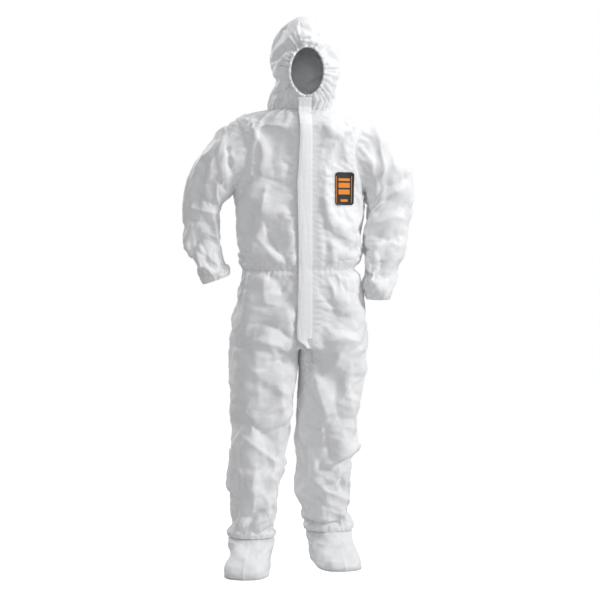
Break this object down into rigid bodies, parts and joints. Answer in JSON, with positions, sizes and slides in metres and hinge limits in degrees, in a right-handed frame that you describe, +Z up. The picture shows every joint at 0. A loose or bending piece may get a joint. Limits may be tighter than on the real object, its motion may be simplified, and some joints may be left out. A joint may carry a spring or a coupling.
{
  "type": "hooded chemical protective coverall",
  "caption": "White hooded one-piece protective coverall with front zip under a storm flap, elastic face, waist, wrists and ankles, and attached boots, shown as worn.",
  "frame": {"origin": "midway between the wearer's shoulders, where the suit hangs on its wearer", "axes": "+Z up, +X to the wearer's left, -Y out of the front"},
  "size_m": [0.7377, 0.4135, 1.824],
  "materials": {
    "nonwoven_cloth": "matte point-bonded spunbond nonwoven",
    "elastic": "gathered knitted elastic under nonwoven",
    "zip_tape": "woven polyester tape",
    "zip_coil": "nylon coil",
    "slider": "white enamelled die cast zinc",
    "patch": "printed film with orange blocks",
    "label": "blank satin label",
    "sole": "coated non-slip nonwoven"
  },
  "bodies": {
    "trunk": {"right_front_bodice": "nonwoven_cloth", "left_front_bodice": "nonwoven_cloth", "back_bodice": "nonwoven_cloth", "right_front_hip": "nonwoven_cloth", "left_front_hip": "nonwoven_cloth", "seat_panel": "nonwoven_cloth", "waist_elastic": "elastic", "neck_label": "label", "chest_patch": "patch", "zip_tape_right": "zip_tape", "zip_tape_left": "zip_tape", "zip_coil_right": "zip_coil", "zip_coil_left": "zip_coil", "zip_bottom_stop": "slider", "zip_top_stop": "slider", "flap_bar_tack": "nonwoven_cloth", "neck_cloth": "nonwoven_cloth", "chin_flap": "nonwoven_cloth", "right_shoulder_cloth": "nonwoven_cloth", "left_shoulder_cloth": "nonwoven_cloth", "right_hip_cloth": "nonwoven_cloth", "left_hip_cloth": "nonwoven_cloth"},
    "hood": {"hood_centre_panel": "nonwoven_cloth", "hood_right_panel": "nonwoven_cloth", "hood_left_panel": "nonwoven_cloth", "face_elastic": "elastic"},
    "storm_flap": {"storm_flap": "nonwoven_cloth"},
    "zip_slider": {"zip_slider": "slider"},
    "pull_tab": {"pull_tab": "slider"},
    "right_upper_arm": {"right_sleeve_upper": "nonwoven_cloth", "right_elbow_cloth": "nonwoven_cloth"},
    "right_forearm": {"right_sleeve_lower": "nonwoven_cloth", "right_wrist_elastic": "elastic"},
    "right_thigh": {"right_thigh": "nonwoven_cloth", "right_knee_cloth": "nonwoven_cloth"},
    "right_shin": {"right_shin": "nonwoven_cloth", "right_ankle_cloth": "nonwoven_cloth"},
    "right_boot": {"right_boot_upper": "nonwoven_cloth", "right_boot_sole": "sole", "right_ankle_elastic": "elastic"},
    "left_upper_arm": {"left_sleeve_upper": "nonwoven_cloth", "left_elbow_cloth": "nonwoven_cloth"},
    "left_forearm": {"left_sleeve_lower": "nonwoven_cloth", "left_wrist_elastic": "elastic"},
    "left_thigh": {"left_thigh": "nonwoven_cloth", "left_knee_cloth": "nonwoven_cloth"},
    "left_shin": {"left_shin": "nonwoven_cloth", "left_ankle_cloth": "nonwoven_cloth"},
    "left_boot": {"left_boot_upper": "nonwoven_cloth", "left_boot_sole": "sole", "left_ankle_elastic": "elastic"}
  },
  "joints": [
    {"name": "hood_nod", "type": "hinge", "parent": "trunk", "child": "hood", "pos_m": [0, 0, 0.05], "axis": [1, 0, 0], "range_deg": [-12, 18], "deforming": ["neck_cloth", "chin_flap"]},
    {"name": "flap_open", "type": "hinge", "parent": "trunk", "child": "storm_flap", "pos_m": [0.03, -0.1285, -0.376], "axis": [0, 0, 1], "range_deg": [0, 90]},
    {"name": "zip_open", "type": "slide", "parent": "trunk", "child": "zip_slider", "axis": [0, 0, -1], "range_m": [0, 0.655]},
    {"name": "tab_lift", "type": "hinge", "parent": "zip_slider", "child": "pull_tab", "pos_m": [0, -0.1314, -0.0358], "axis": [-1, 0, 0], "range_deg": [0, 8]},
    {"name": "right_shoulder_raise", "type": "hinge", "parent": "trunk", "child": "right_upper_arm", "pos_m": [-0.195, 0, -0.046], "axis": [0, 1, 0], "range_deg": [0, 100], "deforming": ["right_shoulder_cloth"]},
    {"name": "right_elbow_bend", "type": "hinge", "parent": "right_upper_arm", "child": "right_forearm", "pos_m": [-0.322, 0, -0.286], "axis": [-1, 0, 0], "range_deg": [0, 80], "deforming": ["right_elbow_cloth"]},
    {"name": "right_hip_bend", "type": "hinge", "parent": "trunk", "child": "right_thigh", "pos_m": [-0.117, 0, -0.631], "axis": [-1, 0, 0], "range_deg": [-10, 90], "deforming": ["right_hip_cloth"]},
    {"name": "right_knee_bend", "type": "hinge", "parent": "right_thigh", "child": "right_shin", "pos_m": [-0.134, -0.03, -1.006], "axis": [1, 0, 0], "range_deg": [0, 80], "deforming": ["right_knee_cloth"]},
    {"name": "right_ankle_bend", "type": "hinge", "parent": "right_shin", "child": "right_boot", "pos_m": [-0.164, -0.068, -1.37], "axis": [1, 0, 0], "range_deg": [-10, 10], "deforming": ["right_ankle_cloth"]},
    {"name": "left_shoulder_raise", "type": "hinge", "parent": "trunk", "child": "left_upper_arm", "pos_m": [0.195, 0, -0.046], "axis": [0, -1, 0], "range_deg": [0, 100], "deforming": ["left_shoulder_cloth"]},
    {"name": "left_elbow_bend", "type": "hinge", "parent": "left_upper_arm", "child": "left_forearm", "pos_m": [0.312, 0, -0.292], "axis": [-1, 0, 0], "range_deg": [0, 80], "deforming": ["left_elbow_cloth"]},
    {"name": "left_hip_bend", "type": "hinge", "parent": "trunk", "child": "left_thigh", "pos_m": [0.112, 0, -0.631], "axis": [-1, 0, 0], "range_deg": [-10, 90], "deforming": ["left_hip_cloth"]},
    {"name": "left_knee_bend", "type": "hinge", "parent": "left_thigh", "child": "left_shin", "pos_m": [0.108, 0.004, -1.006], "axis": [1, 0, 0], "range_deg": [0, 80], "deforming": ["left_knee_cloth"]},
    {"name": "left_ankle_bend", "type": "hinge", "parent": "left_shin", "child": "left_boot", "pos_m": [0.112, 0.026, -1.37], "axis": [1, 0, 0], "range_deg": [-10, 10], "deforming": ["left_ankle_cloth"]}
  ]
}
